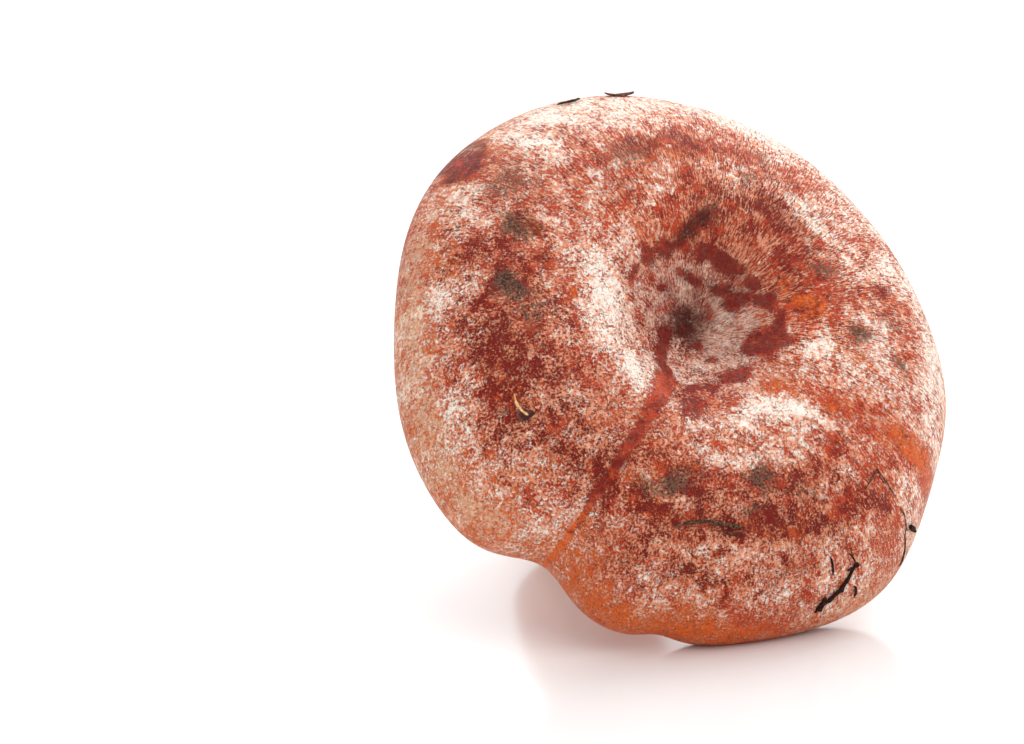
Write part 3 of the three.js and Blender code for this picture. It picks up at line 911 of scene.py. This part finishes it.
def litter_piece(name, bodies):
    """One piece from several closed bodies."""
    verts, faces, first = [], [], 0
    for points in bodies:
        rings, columns = points.shape[:2]
        verts.append(capped(points))
        faces += [[first + corner for corner in face] for face in ring_faces(rings, columns)]
        first += rings * columns + 2
    return link(name, placed(np.concatenate(verts)), faces)


# Piece, CAD node, material, and the bodies that the piece is made of
LITTER = (
    ("twig", "twig_sliver", "dark_bark", (
        strand("twig_sliver", 0.62, 61),
        strand("twig_sliver", 0.62, 62, ahead=-3.3, turn=-10, part=0.28),
        strand("twig_sliver", 0.72, 63, ahead=3.6, turn=8, part=0.24),
        strand("twig_sliver", 0.24, 64, ahead=-3.8, aside=-0.7, turn=100, part=0.24),
        strand("twig_sliver", 0.24, 65, ahead=4.2, aside=0.1, turn=20, part=0.16),
    )),
    ("shred_high", "bark_shred_high", "dark_bark", (strand("bark_shred_high", 0.32, 66),)),
    ("shred_low", "bark_shred_low", "dark_bark", (strand("bark_shred_low", 0.32, 67),)),
    ("crumb", "bark_crumb", "dark_bark", (flake("bark_crumb", 0.1, 68),)),
    ("needle", "pine_needle", "dry_needle", (
        strand("pine_needle", 0.6, 69),
        strand("pine_needle", 0.22, 70, ahead=3.4, aside=-0.9, turn=-6, part=0.35),
    )),
    ("needle_split", "split_needle", "dry_needle", (strand("split_needle", 0.22, 71),)),
    ("root", "rootlet", "dry_needle", (
        strand("rootlet", 0.24, 75),
        strand("rootlet", 0.18, 78, ahead=-3.0, aside=-0.4, turn=30),
    )),
    ("hair", "moss_hair", "dry_needle", (strand("moss_hair", 0.32, 76),)),
    ("leaf", "leaf_flake", "dead_leaf", (flake("leaf_flake", 0.4, 77),)),
    ("scale", "bud_scale", "dead_leaf", (flake("bud_scale", 0.35, 79),)),
    ("scale_edge", "bud_scale", "bud_scale", (strand("bud_scale", 0.4, 80),)),
)


# ---- materials


def tint(red, green, blue):
    """A colour given on the 0 to 255 display scale, for a shader."""
    share = np.array([red, green, blue]) / 255.0
    linear = np.where(share <= 0.04045, share / 12.92, np.power((share + 0.055) / 1.055, 2.4))
    return (*linear.tolist(), 1.0)


class Look:
    """One procedural material. Every method but finish gives an output socket."""

    def __init__(self, name):
        self.material = bpy.data.materials.new(name)
        self.material.use_nodes = True
        self.tree = self.material.node_tree
        self.shader = self.tree.nodes["Principled BSDF"]

    def node(self, kind, inputs, output=0, **settings):
        made = self.tree.nodes.new(kind)
        for key, value in settings.items():
            setattr(made, key, value)
        for key, value in inputs.items():
            self.set(made.inputs[key], value)
        return made.outputs[output]

    def set(self, socket, value):
        if isinstance(value, bpy.types.NodeSocket):
            self.tree.links.new(value, socket)
        else:
            socket.default_value = value

    def sum(self, first, second):
        return self.node("ShaderNodeMath", {0: first, 1: second}, operation="ADD")

    def times(self, first, second):
        return self.node("ShaderNodeMath", {0: first, 1: second}, operation="MULTIPLY")

    def without(self, value):
        return self.node("ShaderNodeMath", {0: 1.0, 1: value}, operation="SUBTRACT")

    def scaled(self, vector, factors):
        return self.node("ShaderNodeVectorMath", {0: vector, 1: factors}, operation="MULTIPLY")

    def place(self):
        """Where the point is, in millimetres."""
        where = self.node("ShaderNodeTexCoord", {}, "Object")
        return self.scaled(where, (1000, 1000, 1000))

    def stored(self, attribute):
        return self.node("ShaderNodeAttribute", {}, "Vector", attribute_name=attribute)

    def parts(self, attribute):
        vector = self.stored(attribute)
        apart = self.tree.nodes.new("ShaderNodeSeparateXYZ")
        self.tree.links.new(vector, apart.inputs[0])
        return list(apart.outputs)

    def noise(self, vector, scale, detail, roughness):
        inputs = {"Vector": vector, "Scale": scale, "Detail": detail, "Roughness": roughness}
        return self.node("ShaderNodeTexNoise", inputs)

    def step(self, value, low, high):
        return self.node("ShaderNodeMapRange", {0: value, 1: low, 2: high}, interpolation_type="SMOOTHSTEP")

    def blend(self, factor, first, second):
        return self.node("ShaderNodeMix", {0: factor, 6: first, 7: second}, 2, data_type="RGBA")

    def between(self, factor, first, second):
        return self.node("ShaderNodeMix", {0: factor, 2: first, 3: second}, 0, data_type="FLOAT")

    def pushed(self, noise, amount, gain):
        """The noise lifted where the amount is above a half and lowered where it is below."""
        lift = self.node("ShaderNodeMath", {0: amount, 1: gain, 2: -0.5 * gain}, operation="MULTIPLY_ADD")
        return self.sum(noise, lift)

    def finish(self, color, roughness, height, bump):
        self.set(self.shader.inputs["Base Color"], color)
        self.set(self.shader.inputs["Roughness"], roughness)
        if height is not None:
            normal = self.node("ShaderNodeBump", {"Strength": 1.0, "Distance": bump, "Height": height})
            self.set(self.shader.inputs["Normal"], normal)
        return self.material


PIT_PINK = tint(240, 184, 160)
CREAM = tint(255, 242, 228)
SALMON = tint(234, 148, 112)
BRICK = tint(206, 70, 34)
DARK = tint(124, 24, 12)
ORANGE = tint(238, 106, 32)
PALE = tint(250, 204, 168)
STAIN = tint(104, 92, 74)
# Dark brown of the specks, also laid over the dirt and painted shade
SPECK_AND_SHADE = tint(44, 14, 12)

# Shader noises of the cap: scale, detail, roughness
CLUMPS = (0.45, 2.0, 0.5)
FLECKS = (2.5, 4.0, 0.8)
RAGS = (1.4, 4.0, 0.85)
POWDER = (1.3, 4.0, 0.8)
BLOTS = (0.5, 3.0, 0.6)
SMALL_BLOTS = (1.9, 3.0, 0.7)
WARMTH = (0.8, 4.0, 0.7)
MOTTLE = (3.2, 2.0, 0.6)
PALENESS = (1.0, 4.0, 0.75)
SOIL = (1.5, 4.0, 0.85)
DOTS = (2.6, 3.0, 0.7)
GRAIN = (1.6, 4.0, 0.7)
STREAKS = (1.0, 3.0, 0.7)
NEAR_STREAKS = (72, 72, 0.9)  # how fine streaks are round the axis, and along the radius
FAR_STREAKS = (150, 150, 0.9)
STREAK_CHANGE = (20, 26)  # radii between which the near ones give way to the far ones
PIT_RIM = (15.0, 9.0)  # radii between which the powder turns to that of the dish

# Where noise turns into a marking: from none to full
COVER_EDGE = (0.474, 0.516)
SKINNED_EDGE = (0.475, 0.51)
WHITE_EDGE = (0.46, 0.62)
DEEP_EDGE = (0.41, 0.6)
WARM_EDGE = (0.42, 0.6)
MOTTLE_EDGE = (0.42, 0.56)
PALE_EDGE = (0.42, 0.62)
SOIL_EDGE = (0.46, 0.56)
DOT_EDGE = (0.6, 0.65)


def soften(look, weight, radius, scale):
    look.shader.inputs["Subsurface Weight"].default_value = weight
    look.shader.inputs["Subsurface Radius"].default_value = radius
    look.shader.inputs["Subsurface Scale"].default_value = scale


def streaks(look, share):
    """Noise drawn out along the radius, finer round the axis further out."""
    polar = look.stored("polar")
    near = look.noise(look.scaled(polar, NEAR_STREAKS), *STREAKS)
    far = look.noise(look.scaled(polar, FAR_STREAKS), *STREAKS)
    return look.between(look.step(share, *STREAK_CHANGE), near, far)


def cap_cover(look, place, streak, fibre, bloom, bald):
    """Where powder covers the flesh."""
    fine = look.between(look.times(fibre, 0.8), look.noise(place, *FLECKS), streak)
    fleck = look.between(0.18, fine, look.noise(place, *CLUMPS))
    ragged = look.between(look.times(fibre, 0.7), look.noise(place, *RAGS), streak)
    skinned = look.step(look.pushed(ragged, bald, 0.3), *SKINNED_EDGE)
    cover = look.step(look.pushed(fleck, bloom, 0.13), *COVER_EDGE)
    return look.times(cover, look.without(look.times(skinned, 0.93)))


def cap_powder(look, place, pit, bloom, dirt_and_shade):
    # Less white powder under dirt and painted shade
    lit = look.sum(bloom, look.times(dirt_and_shade, -1.4))
    white = look.step(look.pushed(look.noise(place, *POWDER), lit, 0.25), *WHITE_EDGE)
    return look.blend(white, look.blend(pit, SALMON, PIT_PINK), CREAM)


def cap_flesh(look, place, tone, orange):
    blot = look.between(0.45, look.noise(place, *BLOTS), look.noise(place, *SMALL_BLOTS))
    deep = look.step(look.pushed(blot, tone, 0.3), *DEEP_EDGE)
    warm = look.step(look.pushed(look.noise(place, *WARMTH), orange, 0.5), *WARM_EDGE)
    flesh = look.blend(deep, look.blend(warm, BRICK, ORANGE), DARK)
    mottle = look.step(look.noise(place, *MOTTLE), *MOTTLE_EDGE)
    return look.blend(look.times(mottle, 0.4), flesh, DARK)


def cap_dots(look, place, streak, fibre, grit):
    dots = look.between(look.times(fibre, 0.7), look.noise(place, *DOTS), streak)
    return look.step(look.sum(dots, grit), *DOT_EDGE)


def cap_look():
    look = Look("cap_skin")
    place = look.place()
    bloom, tone, stain = look.parts("cover")
    orange, pale, fibre = look.parts("finish")
    bald, dirt_and_shade, _ = look.parts("bald")
    share = look.parts("polar")[2]
    streak = streaks(look, share)
    pit = look.step(share, *PIT_RIM)

    cover = cap_cover(look, place, streak, fibre, bloom, bald)
    powder = cap_powder(look, place, pit, bloom, dirt_and_shade)
    color = look.blend(cover, cap_flesh(look, place, tone, orange), powder)
    paled = look.step(look.pushed(look.noise(place, *PALENESS), pale, 0.5), *PALE_EDGE)
    color = look.blend(look.times(paled, 0.6), color, PALE)
    soil = look.step(look.pushed(look.noise(place, *SOIL), stain, 0.22), *SOIL_EDGE)
    color = look.blend(look.times(soil, 0.7), color, STAIN)
    # More dark dots on stains, dirt and painted shade, darker tone, and in the dish
    grit = look.sum(look.times(look.sum(stain, dirt_and_shade), 0.07), look.times(tone, 0.03))
    grit = look.sum(grit, look.times(pit, 0.035))
    dots = cap_dots(look, place, streak, fibre, grit)
    color = look.blend(look.times(dots, 0.85), color, SPECK_AND_SHADE)
    # Dirt and painted shade: darker towards the dark brown
    color = look.blend(look.times(dirt_and_shade, 0.7), color, SPECK_AND_SHADE)

    height = look.sum(look.times(cover, 0.35), look.times(look.noise(place, *GRAIN), 0.8))
    look.shader.inputs["Specular IOR Level"].default_value = 0.14
    soften(look, 0.08, (1.0, 0.35, 0.15), 0.0006)
    return look.finish(color, look.between(cover, 0.42, 0.66), height, 0.00025)


def gill_look():
    look = Look("gill_flesh")
    depth, run, tooth = look.parts("gill")
    place = look.place()
    tone = look.noise(place, 0.25, 3.0, 0.6)
    edge = look.blend(look.step(tone, 0.35, 0.65), tint(232, 118, 50), tint(238, 150, 88))
    # Darker orange the deeper between the gills: painted shade in the gaps
    color = look.blend(look.step(depth, 0.0, 0.7), edge, tint(206, 72, 20))
    ends = look.times(look.step(run, 0.72, 0.95), look.step(tooth, 0.2, 0.8))
    color = look.blend(ends, color, tint(250, 205, 170))
    spots = look.step(look.noise(place, 0.8, 2.0, 0.6), 0.64, 0.7)
    color = look.blend(look.times(spots, 0.4), color, tint(170, 60, 26))
    soften(look, 0.2, (1.0, 0.4, 0.15), 0.003)
    return look.finish(color, 0.5, look.noise(place, 1.5, 3.0, 0.6), 0.0001)


def stem_look():
    look = Look("stem_flesh")
    pit, along, cut = look.parts("stalk")
    place = look.stored("upright")
    tone = look.step(look.noise(place, 0.3, 4.0, 0.6), 0.38, 0.62)
    base = look.blend(tone, tint(222, 112, 58), tint(238, 150, 98))
    powder = look.step(look.noise(look.scaled(place, (1, 1, 0.6)), 0.7, 5.0, 0.72), 0.46, 0.56)
    color = look.blend(look.times(powder, 0.75), base, tint(248, 208, 184))
    ring = look.times(look.step(along, 0.14, 0.2), look.without(look.step(along, 0.2, 0.3)))
    color = look.blend(look.times(ring, 0.7), color, tint(252, 224, 204))
    color = look.blend(look.times(look.step(pit, 0.2, 0.8), 0.85), color, tint(212, 84, 28))
    cloud = look.step(look.noise(place, 0.5, 4.0, 0.6), 0.4, 0.6)
    face = look.blend(cloud, tint(214, 134, 104), tint(238, 178, 146))
    color = look.blend(look.step(cut, 0.1, 0.4), color, face)
    soften(look, 0.15, (1.0, 0.4, 0.2), 0.003)
    return look.finish(color, 0.55, look.noise(place, 1.2, 4.0, 0.7), 0.0002)


def litter_look(name, first, second, fine):
    look = Look(name)
    place = look.place()
    color = look.blend(look.step(look.noise(place, fine, 3.0, 0.7), 0.4, 0.66), first, second)
    look.shader.inputs["Specular IOR Level"].default_value = 0.15
    return look.finish(color, 0.7, look.noise(place, fine * 1.5, 3.0, 0.7), 0.00015)


LITTER_LOOKS = {
    "dark_bark": litter_look("dark_bark_look", tint(16, 8, 7), tint(70, 34, 26), 2.4),
    "dry_needle": litter_look("dry_needle_look", tint(50, 30, 22), tint(126, 88, 66), 2.2),
    "dead_leaf": litter_look("dead_leaf_look", tint(66, 34, 30), tint(132, 72, 58), 1.0),
    "bud_scale": litter_look("bud_scale_look", tint(216, 150, 96), tint(244, 206, 150), 1.0),
}


# ---- scene


def studio():
    """An even white light, seen by the camera as plain white."""
    world = bpy.data.worlds.new("studio")
    world.use_nodes = True
    nodes, links = world.node_tree.nodes, world.node_tree.links
    background = nodes["Background"]
    background.inputs["Color"].default_value = (1, 1, 1, 1)
    glow = nodes.new("ShaderNodeMath")
    glow.operation = "MULTIPLY_ADD"
    glow.inputs[1].default_value = 1.0 - FILL_LIGHT
    glow.inputs[2].default_value = FILL_LIGHT
    links.new(nodes.new("ShaderNodeLightPath").outputs["Is Camera Ray"], glow.inputs[0])
    links.new(glow.outputs[0], background.inputs["Strength"])
    return world


def aimed(name, data, place, target):
    """A lamp or a camera at a place, turned towards a target."""
    made = bpy.data.objects.new(name, data)
    made.location = place
    made.rotation_mode = "QUATERNION"
    made.rotation_quaternion = (Vector(target) - Vector(place)).to_track_quat("-Z", "Y")
    bpy.context.scene.collection.objects.link(made)
    return made


def softbox(name, place, power, spread):
    data = bpy.data.lights.new(name, "SUN")
    data.energy = power
    data.angle = math.radians(spread)
    aimed(name, data, place, LIT_POINT)


def view():
    """The camera, which looks a little past the mushroom's origin."""
    azimuth, elevation = math.radians(CAMERA_AZIMUTH), math.radians(CAMERA_ELEVATION)
    level = math.cos(elevation)
    toward = Vector((math.sin(azimuth) * level, -math.cos(azimuth) * level, math.sin(elevation)))
    right = Vector((math.cos(azimuth), math.sin(azimuth), 0))
    origin = Vector(placed(np.zeros(3)))
    data = bpy.data.cameras.new("camera")
    data.lens = CAMERA_LENS
    return aimed("camera", data, origin + toward * CAMERA_DISTANCE, origin - right * LOOK_LEFT)


MUSHROOM = ((cap_piece(), cap_look()), (gills_piece(), gill_look()), (stem_piece(), stem_look()))
for piece, look in MUSHROOM:
    piece.data.materials.append(look)
    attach(piece, "root")
    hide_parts("mushroom")

for name, node, slot, bodies in LITTER:
    piece = litter_piece(name, bodies)
    piece.data.materials.append(LITTER_LOOKS[slot])
    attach(piece, "root")
    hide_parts(node)

corners = [(-1, -1), (1, -1), (1, 1), (-1, 1)]
floor = link("floor", [(FLOOR_REACH * x, FLOOR_REACH * y, 0) for x, y in corners], [(0, 1, 2, 3)])
floor.data.materials.append(Look("floor").finish(FLOOR_COLOR, FLOOR_ROUGHNESS, None, 0))

scene = bpy.context.scene
scene.view_settings.view_transform = "Standard"
scene.world = studio()
softbox("front_softbox", (0.3, -0.45, 0.9), 1.0, 80)
softbox("back_softbox", (0.5, 0.7, 0.9), 1.6, 60)
scene.camera = view()
